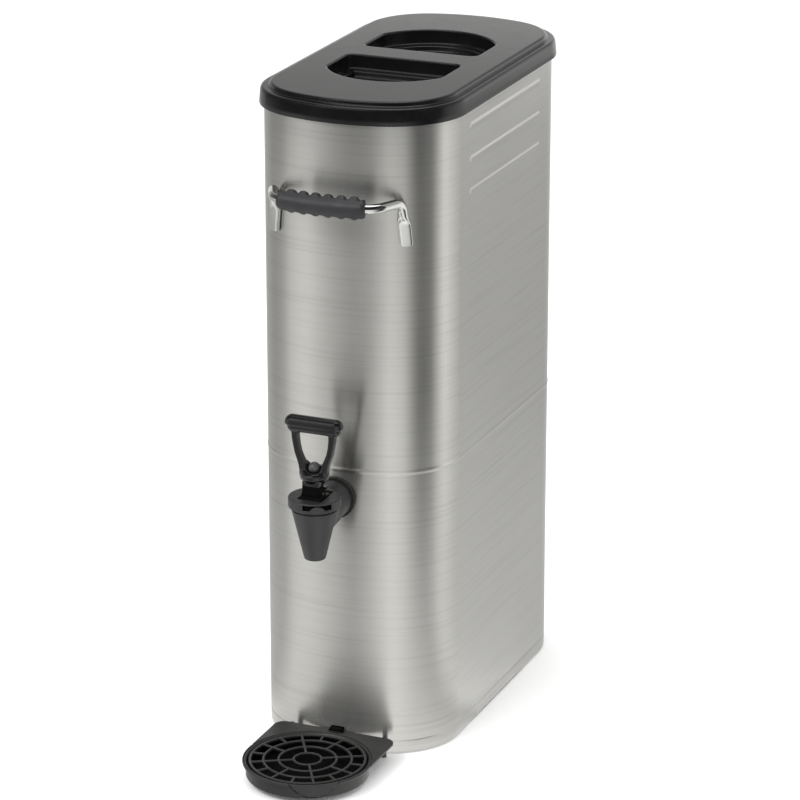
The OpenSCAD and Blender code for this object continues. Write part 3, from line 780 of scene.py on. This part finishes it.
def faucet_moulding():
    """Cone, barrel, threaded shank and the web between them, bored through."""
    step = 0.5
    lo, hi = (-21, TAP_Y - 20, SPOUT_LOW - 1), (21, -HALF_D + 25, 244)
    p, origin = grid(lo, hi, step)
    x, y, z = p
    rho = np.hypot(x, y - TAP_Y)
    slope = (CONE_R - SPOUT_R) / (CONE_TOP - SPOUT_LOW)
    cone = (rho - (SPOUT_R + slope * (z - SPOUT_LOW))) / math.sqrt(1 + slope ** 2)
    cone = smax(cone, np.maximum(SPOUT_LOW - z, z - CONE_TOP), 1.2)
    barrel = f_disc(p, (0, SHANK_Z), BARREL_R, TAP_Y, -HALF_D - 3.5, 1.0, axis=1)
    thread = 0.45 * (0.5 + 0.5 * np.sin(2 * math.pi * y / 1.9 + np.arctan2(z - SHANK_Z, x)))
    shank = f_disc(p, (0, SHANK_Z), SHANK_R, -HALF_D - 6, -HALF_D + 24, 0.5, axis=1)
    shank = shank + thread * (y > -HALF_D + 1)
    web = f_box(p, (-6, TAP_Y, SPOUT_LOW + 8), (6, -HALF_D - 3.6, SHANK_Z), 1.5)
    slant = z - (SPOUT_LOW + 14) - (y - TAP_Y) * 0.17
    web = smax(web, -slant, 2)
    body = smin(smin(cone, barrel, 3.5), web, 5)
    body = np.minimum(body, shank)
    chamber = np.maximum(rho - 12, 212 - z)
    outlet = rho - 6
    bore = np.maximum(np.hypot(x, z - SHANK_Z) - 5, TAP_Y - y)
    seat = np.maximum(rho - (BONNET_R + 0.3), BONNET_LOW - 0.3 - z)
    neck = np.maximum(rho - 18.5, CONE_TOP - z)
    for hole in (chamber, outlet, bore, seat, neck):
        body = smax(body, -hole, 0.4)
    verts, faces = nets(body, origin, step)
    piece("faucet_moulding", "faucet_body", verts, faces, TAP)


def bonnet_cap():
    """The cap with the lever's slot across it and a pocket with a raised tab in its side."""
    step = 0.4
    p, origin = grid((-22, TAP_Y - 22, CONE_TOP - 5), (22, TAP_Y + 22, BONNET_TOP), step)
    x, y, z = p
    rho = np.hypot(x, y - TAP_Y)
    cap = f_disc(p, (0, TAP_Y), BONNET_R, BONNET_LOW, BONNET_TOP, 1.3)
    neck = f_disc(p, (0, TAP_Y), 18.2, CONE_TOP, BONNET_LOW + 2, 0.2)
    plug = f_disc(p, (0, TAP_Y), 11.9, CONE_TOP - 5, CONE_TOP + 2, 0.3)
    body = np.minimum(np.minimum(cap, neck), plug)
    body = smax(body, -np.maximum(rho - 8, z - 236), 0.3)
    body = smax(body, -(rho - 3.3), 0.3)
    slot = f_box(p, (-10.5, TOE_Y - 2.6, 239.15), (10.5, TOE_Y + 24.4, 250), 0.8)
    body = smax(body, -slot, 0.5)
    across, along = turned(x, y, TAP_Y, POCKET_TURN)
    pocket = np.maximum(np.abs(across) - POCKET_HALF, np.abs(z - POCKET_Z) - 2.2)
    pocket = np.maximum(np.maximum(pocket, BONNET_R - POCKET_DEEP - rho), 12 - along)
    tab = (np.hypot(across / 6.9, (z - BONNET_LOW) / 6.4) - 1) * 4
    pocket = np.maximum(pocket, -tab)
    body = smax(body, -pocket, 0.4)
    verts, faces = nets(body, origin, step)
    ob = piece("bonnet_cap", "bonnet", verts, faces, TAP)
    # Painted shade: the faces inside the side pocket get the near-black material.
    paint_shade(ob, lambda x, y, z: abs(z - POCKET_Z + 0.1) < 2.4 and math.hypot(x, y - TAP_Y) < BONNET_R - 0.9
           and turned(x, y, TAP_Y, POCKET_TURN)[1] > 12)


def lever():
    """The stirrup lever: toe, neck and cheeks, the hub's ring and dish, two arms and the bar."""
    step = 0.4
    p, origin = grid((-26, TOE_Y - 3, TOE_Z - 3), (26, TAP_Y + 12, TBAR_Z + 7.5), step)
    x, y, z = p
    ax = np.abs(x)
    rho = np.hypot(x, y - TAP_Y)
    toe = f_disc(p, (TOE_Y, TOE_Z), 2.0, -9.8, 9.8, 0.6, axis=0)
    foot = f_box(p, (-9.8, TOE_Y, TOE_Z - 1.8), (9.8, TOE_Y + 18, TOE_Z + 2), 0.7)
    neck = f_box(p, (-NECK_HALF, TOE_Y + 0.4, TOE_Z - 0.6), (NECK_HALF, TAP_Y + 1.5, 257), 0.9)
    cheeks = f_box(p, (-7.8, TOE_Y, TOE_Z - 0.6), (7.8, TAP_Y + 6, 247.6), 0.9)
    tooth = f_box(p, (5.2, TAP_Y + 3, TOE_Z + 4), (9.4, TAP_Y + 9.6, TOE_Z + 8.5), 0.8)
    ring_z = RING_Z + 0.2 * (y - TAP_Y)
    ring = np.hypot(rho - RING_R, z - ring_z) - RING_THICK
    cup = rho - (7.2 + 0.36 * np.clip(z - 252, 0, 9))
    cup = smax(cup, np.maximum(251.5 - z, z - ring_z), 1.5)
    arm = np.full(np.broadcast(x, y, z).shape, 1e3)
    for (x0, z0, r0), (x1, z1, r1) in zip(ARM, ARM[1:]):
        t = np.clip(((ax - x0) * (x1 - x0) + (z - z0) * (z1 - z0)) / ((x1 - x0) ** 2 + (z1 - z0) ** 2), 0, 1)
        off = np.hypot(ax - x0 - t * (x1 - x0), z - z0 - t * (z1 - z0))
        arm = np.minimum(arm, off - (r0 + t * (r1 - r0)))
    arm = smax(arm, np.abs(y - TAP_Y) - 3.3, 1.4)
    web = np.maximum(ax - 9, np.maximum(262 - z, z - 267.0 - 0.05 * x * x))
    web = smax(web, np.abs(y - TAP_Y - 3.6) - 2.4, 1.2)
    upper = f_rod(p, (TAP_Y, TBAR_Z), BAR_END, BAR_R)
    ridge = f_rod(p, (TAP_Y, TBAR_Z - RIDGE_DROP), RIDGE_END, RIDGE_R)
    upper = smax(upper, TBAR_Z - 2.0 - z, 1.6)
    bar = np.minimum(upper, smin(ridge, np.maximum(upper + 2.2, z - TBAR_Z), 0.6))
    body = smin(smin(ring, cup, 2), arm, 2.4)
    body = smin(body, web, 1.6)
    body = smin(body, bar, 1.0)
    body = smin(smin(body, neck, 1.5), cheeks, 0.6)
    body = smin(smin(body, foot, 1.2), toe, 0.8)
    body = smin(body, tooth, 0.8)
    eye = f_box(p, (-3.3, TOE_Y + 1.5, TOE_Z - 8), (3.3, TOE_Y + 60, TOE_Z + 10.3), 0.4)
    body = smax(body, -eye, 0.4)
    body = smax(body, -(np.hypot(y - TAP_Y, z - PIN_Z) - 1.52), 0.2)
    dish = f_ball(p, (0, TAP_Y, BALL_Z + 0.4), 5.7)
    body = smax(body, -dish, 0.8)
    body = smax(body, -np.maximum(rho - 2.52, np.maximum(250 - z, z - BALL_Z)), 0.3)
    verts, faces = nets(body, origin, step)
    ob = piece("stirrup_lever", "tap_handle", verts, faces, LEVER)
    # Painted shade: the neck, toe and cheeks below the hub's ring get the near-black material.
    paint_shade(ob, lambda x, y, z: z < 253.2 and y < TAP_Y + 2)


def stem_button():
    base = low("stem_cap")[2]
    ball = [(BALL_R * math.cos(a), BALL_Z + BALL_R * math.sin(a)) for a in np.radians(np.arange(-58, 62, 6))]
    crown = [(2.2, BALL_Z + 4.45), (1.7, BALL_Z + 4.6), (1.0, BALL_Z + 4.62), (0.02, BALL_Z + 4.62)]
    profile = [(0.02, base), (2.2, base), (2.5, base + 0.4), (2.5, BALL_Z - 4.3)] + ball + crown
    verts, faces = lathe(profile, (0, TAP_Y), 72, wrap=False)
    faces += [tuple(range(72)), tuple(range(len(verts) - 72, len(verts)))]
    piece("stem_button", "stem_cap", verts, faces, BUTTON, 50)


def spring_coil():
    """The closing spring, its first and last turns closed up."""
    wire, coil = 0.6, 5.0
    lo, hi = low("valve_spring")[2] + wire, high("valve_spring")[2] - wire
    n, turns, per = 14, 7.0, 40
    rings = []
    for i in range(int(turns * per) + 1):
        t = i / per
        ends = smooth(t, 0.6, 1.4) + smooth(t, turns - 1.4, turns - 0.6)
        rise = ends * 0.5 + np.clip(t - 1, 0, turns - 2)
        z = lo + (hi - lo) * rise / (turns - 1)
        a = 2 * math.pi * t
        c = np.array([coil * math.cos(a), TAP_Y + coil * math.sin(a), z])
        b = np.arange(n) * 2 * math.pi / n
        out = np.array([math.cos(a), math.sin(a), 0])
        rings.append(c + wire * np.cos(b)[:, None] * out + wire * np.sin(b)[:, None] * np.array([0, 0, 1]))
    verts, faces = capped(rings)
    spring = piece("spring_coil", "valve_spring", verts, faces, BRIGHT, 60)
    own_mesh(spring)


# ---------------------------------------------------------------- drip tray

PLATE_TOP, PLATE_R, PLATE_THICK, PLATE_CORNER = 18.0, 54.0, 2.5, 9.0
CUP_WALL, CUP_RIM, CUP_FLOOR = 51.1, 52.6, 6.0
# The cup is turned from the front by this many degrees. Its thumb lip is bounded by a circle of
# radius LIP_R whose centre is at height LIP_Z, and reaches LIP_OUT from the cup's middle
CUP_TURN = 30
LIP_R, LIP_Z, LIP_OUT = 24.0, 30.5, 53.9
GRATE_R, GRATE_EDGE, GRATE_RINGS, BAR_WIDE = 49.0, 46.3, (36.5, 24.0, 11.5), 1.2
# Each set of spokes: (radius where it starts, degrees from one spoke to the next, degrees of shift)
SPOKES = ((11.5, 90, 0), (24, 90, 45), (36.5, 45, 22.5))


def tray_plate():
    """The holder's plate with a round seat, a notch for the cup's lip, a tongue and two legs."""
    step = 0.5
    edge = PLATE_R + 0.5
    p, origin = grid((-edge, CUP_Y - edge, -0.5), (edge, -HALF_D + 7.5, 21.5), step)
    x, y, z = p
    rear = -HALF_D - 0.4
    ax = np.abs(x)
    rho = np.hypot(x, y - CUP_Y)
    qx = np.maximum(ax - (PLATE_R - PLATE_CORNER), 0)
    qy = np.maximum(np.abs(y - (CUP_Y + rear) / 2) - ((rear - CUP_Y) / 2 - PLATE_CORNER), 0)
    block = np.hypot(qx, qy) - PLATE_CORNER
    plan = np.minimum(rho - PLATE_R, np.maximum(block, CUP_Y - y))
    plan = np.maximum(plan, 52 - rho)
    half = PLATE_THICK / 2
    plate = smax(plan, np.abs(z - (PLATE_TOP - half)) - half, 0.7)
    groove = np.maximum(rho - 52.9, PLATE_TOP - 1.8 - z)
    plate = smax(plate, -groove, 0.3)
    across, along = turned(x, y, CUP_Y, CUP_TURN)
    plate = smax(plate, -np.maximum(np.hypot(across, z - LIP_Z) - LIP_R - 0.6, 42 - along), 0.3)
    tongue = f_box(p, (-5.6, -HALF_D - 5, PLATE_TOP - 0.3), (5.6, -HALF_D + 7, PLATE_TOP + 2.7), 0.5)
    legs = f_disc([ax, y, z], (42, -HALF_D + 0.6), 2.4, 0, PLATE_TOP - 1, 0.5)
    body = smin(smin(plate, tongue, 0.8), legs, 1.0)
    verts, faces = nets(body, origin, step)
    ob = piece("tray_plate", "tray_holder", verts, faces, TRAY)
    # Painted shade: the tongue's top faces next to and inside the wall's slot get the near-black material.
    paint_shade(ob, lambda x, y, z: y > -HALF_D - 5.5 and z > PLATE_TOP - 0.4 and abs(x) < 7)


def lip_shadow_strip(x, y, z):
    """True on the narrow strip along the thumb lip's lower edge that gets painted shadow."""
    across, along = turned(x, y, CUP_Y, CUP_TURN)
    return along > 40 and abs(across) < 20.5 and -0.2 < math.hypot(across, z - LIP_Z) - LIP_R < 1.1


def cup_shell():
    """The loose cup, turned as (radius, height) pairs, with its thumb lip drawn out of the wall."""
    wall, rim = CUP_WALL, CUP_RIM
    side = [(wall - 1.2, 4.5), (wall - 0.4, 4.75), (wall, 5.3)]
    side += [(wall, z) for z in np.arange(5.9, 15.6, 0.45)]
    edge = [(wall + 0.1, 16.2), (rim - 0.35, 16.45), (rim, 16.8), (rim, 17.3), (rim - 0.3, 17.6)]
    inner = [(51.5, 17.6), (51.0, 17.2), (49.7, 15.4), (49.6, 14.9), (47.9, 14.8), (47.7, 14.6), (47.7, 13.2),
             (48.0, 13.0), (49.6, 12.9), (49.6, 7.2), (49.2, 6.4), (48.4, CUP_FLOOR), (0.05, CUP_FLOOR)]
    bottom = [(0.05, 4.5), (25.6, 4.5), (26, 4.1), (26, 0.4), (26.4, 0), (29.6, 0), (30, 0.4), (30, 4.1),
              (30.4, 4.5)]
    verts, faces = lathe(side + edge + inner + bottom, (0, CUP_Y), 360)
    rho = np.hypot(verts[:, 0], verts[:, 1] - CUP_Y)
    turn = np.arctan2(verts[:, 1] - CUP_Y, verts[:, 0]) + math.pi / 2 - math.radians(CUP_TURN)
    across = ((turn + math.pi) % (2 * math.pi) - math.pi) * wall
    z = verts[:, 2]
    lower = LIP_Z - np.sqrt(np.maximum(LIP_R ** 2 - across ** 2, 0))
    out = LIP_OUT - 0.13 * (z - lower)
    on_lip = (rho > wall - 0.05) & (np.abs(across) < LIP_R)
    lift = np.where(on_lip, (out - rho) * smooth(z, lower - 0.1, lower + 0.7), 0)
    under = smooth(z, lower - 1.6, lower - 0.9) * (1 - smooth(z, lower - 0.9, lower - 0.1))
    under = under * (np.abs(across) < 22) * (np.abs(rho - wall) < 0.05)
    lift = np.where(lift > 0.01, lift, -0.6 * under)
    verts[:, 0] += lift * verts[:, 0] / np.maximum(rho, 1)
    verts[:, 1] += lift * (verts[:, 1] - CUP_Y) / np.maximum(rho, 1)
    ob = piece("cup_shell", "drip_cup", verts, faces, TRAY, 50)
    # Painted shade: the cup's floor and inner wall get the near-black material, and so does a painted shadow
    # strip under the thumb lip.
    paint_shade(ob, lambda x, y, z: z > CUP_FLOOR - 0.1 and math.hypot(x, y - CUP_Y) < wall - 1, lip_shadow_strip)


def grate_net():
    """Rings and spokes of round-edged bars, turned with the cup."""
    step = 0.4
    lo_z, hi_z = low("drip_grate")[2], high("drip_grate")[2]
    p, origin = grid((-GRATE_R, CUP_Y - GRATE_R, lo_z), (GRATE_R, CUP_Y + GRATE_R, hi_z), step)
    x, y, z = p
    rho = np.hypot(x, y - CUP_Y)
    turn = np.arctan2(y - CUP_Y, x) - math.radians(CUP_TURN)
    flat = np.maximum(rho - GRATE_R, GRATE_EDGE - rho)
    for r in GRATE_RINGS:
        flat = np.minimum(flat, np.abs(rho - r) - BAR_WIDE)
    for start, every, shift in SPOKES:
        pitch = math.radians(every)
        near = (turn - math.radians(shift) + pitch / 2) % pitch - pitch / 2
        spoke = np.abs(rho * np.sin(near)) - BAR_WIDE
        flat = smin(flat, np.maximum(np.maximum(spoke, start - rho), rho - GRATE_EDGE - 0.7), 0.5)
    body = smax(flat + 0.1, np.abs(z - (lo_z + hi_z) / 2) - (hi_z - lo_z) / 2, 0.9)
    verts, faces = nets(body, origin, step)
    piece("grate_net", "drip_grate", verts, faces, TRAY)


# ---------------------------------------------------------------- CAD nodes that stay

CARRIED_OVER = {"tank_floor": INNER, "base_ring": INNER,
                "foot_front_left": RUBBER, "foot_front_right": RUBBER,
                "foot_rear_left": RUBBER, "foot_rear_right": RUBBER,
                "faucet_washer": RUBBER, "shank_gasket": SILICONE, "shank_nut": NYLON,
                "handle_pin": BRIGHT, "valve_stem": ACETAL, "seat_cup": SILICONE}


def finish_cad_nodes():
    """Gives each CAD node that no piece stands for its own material."""
    for node, material in CARRIED_OVER.items():
        slots = frame["nodes"][node].data.materials
        if not slots:
            slots.append(material)
        for i in range(len(slots)):
            slots[i] = material


# ---------------------------------------------------------------- floor, light and camera

def floor():
    me = bpy.data.meshes.new("floor")
    half = 12.0
    corners = [(-half, -half, 0), (half, -half, 0), (half, half, 0), (-half, half, 0)]
    me.from_pydata(corners, [], [(0, 1, 2, 3)])
    ob = linked("floor", me)
    m, n, l, s = nodes_of("pale_floor")
    c = n.new("ShaderNodeTexCoord")
    speck = add_noise(n, l, c.outputs["Object"], 3, 3)
    l.new(tint(n, l, speck, (0.88, 0.88, 0.88), (0.90, 0.90, 0.90)), s.inputs["Base Color"])
    s.inputs["Roughness"].default_value = 0.8
    s.inputs["Specular IOR Level"].default_value = 0.2
    me.materials.append(m)


# Grey levels of the studio's cards round the object: (degrees from the front, level)
WALL_CARDS = [(-180, 0.9), (-142, 1.2), (-128, 0.9), (-115, 0.55), (-80, 0.48), (-60, 0.6), (-47, 0.9),
              (-36, 1.15), (-26, 0.75), (-16, 0.56), (-6, 0.42), (4, 0.55), (14, 1.15), (24, 1.1), (34, 0.95),
              (43, 0.5), (52, 0.15), (60, 0.06), (70, 0.1), (81, 0.75), (93, 1.3), (118, 0.9), (145, 0.6),
              (165, 0.58)]
GROUND_CARDS = [(-180, 0.9), (-142, 0.8), (-115, 0.7), (-60, 0.7), (-36, 1.1), (-6, 0.7), (14, 1.3),
                (24, 1.25), (45, 0.95), (60, 0.7), (81, 1.1), (118, 0.85), (160, 0.7)]
UPPER_CARDS = [(-180, 1.15), (-140, 1.0), (-110, 0.5), (-88, 0.12), (-70, 0.2), (-50, 0.04), (78, 0.04),
               (92, 0.8), (140, 1.2)]
# In metres: the cards' ring, its inner edge on the floor, its height, and the heights between which
# the ground cards give way to the wall cards, those to the upper ones, and the upper ones get dimmer
CARD_R, CARD_INNER_R, CARD_TOP = 0.48, 0.1, 1.5
TO_WALLS, TO_UPPER, TO_DIM = (0.0, 0.16), (0.45, 0.5), (0.6, 0.7)


def radial(n, l, vector):
    """0 to 1 round the upright axis, from -X through -Y, +X and +Y."""
    g = n.new("ShaderNodeTexGradient")
    g.gradient_type = "RADIAL"
    l.new(vector, g.inputs["Vector"])
    return g.outputs["Fac"]


def ramp(t, l, fac, stops):
    """A grey level that changes with azimuth: stops are (degrees from the front, level)."""
    r = t.new("ShaderNodeValToRGB")
    r.color_ramp.interpolation = "LINEAR"
    band = r.color_ramp.elements
    while len(band) > 1:
        band.remove(band[0])
    for i, (azimuth, level) in enumerate(stops):
        at = (azimuth + 90) % 360 / 360
        stop = band[0] if i == 0 else band.new(at)
        stop.position = at
        stop.color = (level, level, level * 0.985, 1)
    l.new(fac, r.inputs["Fac"])
    return r.outputs["Color"]


def blend(t, l, share, a, b):
    """Colour a where share is 0 and colour b where it is 1."""
    m = t.new("ShaderNodeMix")
    m.data_type = "RGBA"
    l.new(share, m.inputs["Factor"])
    colour_a, colour_b = m.inputs[6], m.inputs[7]
    l.new(a, colour_a)
    l.new(b, colour_b)
    return m.outputs[2]


def cards():
    """Soft light and dark studio cards round the object, seen only in its reflections."""
    just_above = 0.001
    profile = ((CARD_INNER_R, just_above), (CARD_R, just_above), (CARD_R, CARD_TOP))
    verts, faces = lathe(profile, (0, 0), 96, wrap=False)
    me = bpy.data.meshes.new("studio_cards")
    me.from_pydata(verts.tolist(), [], faces)
    ob = linked("studio_cards", me)
    m = bpy.data.materials.new("studio_cards")
    m.use_nodes = True
    t, l = m.node_tree.nodes, m.node_tree.links
    t.clear()
    out, e = t.new("ShaderNodeOutputMaterial"), t.new("ShaderNodeEmission")
    c = t.new("ShaderNodeTexCoord")
    apart = t.new("ShaderNodeSeparateXYZ")
    l.new(c.outputs["Object"], apart.inputs["Vector"])
    around = radial(t, l, c.outputs["Object"])
    walls = ramp(t, l, around, WALL_CARDS)
    ground = ramp(t, l, around, GROUND_CARDS)
    upper = ramp(t, l, around, UPPER_CARDS)
    height = apart.outputs["Z"]
    colour = blend(t, l, spread(t, l, height, 0, 1, TO_WALLS), ground, walls)
    colour = blend(t, l, spread(t, l, height, 0, 1, TO_UPPER), colour, upper)
    l.new(spread(t, l, height, 1, 0.5, TO_DIM), e.inputs["Strength"])
    l.new(colour, e.inputs["Color"])
    l.new(e.outputs["Emission"], out.inputs["Surface"])
    me.materials.append(m)
    ob.visible_camera = ob.visible_diffuse = ob.visible_shadow = ob.visible_transmission = False


def area(name, place, target, size, power):
    """A soft rectangular light aimed at a target, sized in metres, its power in watts."""
    data = bpy.data.lights.new(name, "AREA")
    data.shape = "RECTANGLE"
    data.size, data.size_y = size
    data.energy = power
    ob = linked(name, data)
    ob.location = place
    ob.rotation_euler = (Vector(target) - Vector(place)).to_track_quat("-Z", "Y").to_euler()


def world():
    w = bpy.data.worlds.new("studio")
    bpy.context.scene.world = w
    w.use_nodes = True
    background = w.node_tree.nodes["Background"]
    background.inputs["Color"].default_value = (1, 1, 1, 1)
    background.inputs["Strength"].default_value = 1.0


def look():
    """The camera: a long lens, looking down at the front from its right."""
    camera = bpy.data.cameras.new("camera")
    camera.sensor_width = 36
    camera.lens = 166.5
    camera.clip_end = 60
    view = linked("camera", camera)
    view.location = (1.1438, -2.7630, 1.2997)
    looks_down, looks_left = math.radians(19.19), math.radians(22.67)
    view.rotation_euler = (math.pi / 2 - looks_down, 0, looks_left)
    bpy.context.scene.camera = view
    bpy.context.scene.view_settings.view_transform = "Standard"


for build in (body_wall, lid_shell, handle_wires, handle_grips, faucet_moulding, bonnet_cap, lever,
              stem_button, spring_coil, tray_plate, cup_shell, grate_net, finish_cad_nodes,
              floor, cards, world, look):
    build()
area("overhead", (0, 0.3, 2.6), (0, 0, 0.3), (3.2, 3.2), 46)
area("key_left", (-1.6, -1.9, 1.7), (0, -0.1, 0.35), (0.9, 1.4), 14)
area("fill_right", (2.2, -0.6, 1.2), (0, 0, 0.3), (0.8, 1.4), 8)
area("softbox", (-0.7, -1.6, 1.9), (0, -0.2, 0.3), (1.4, 0.5), 22)
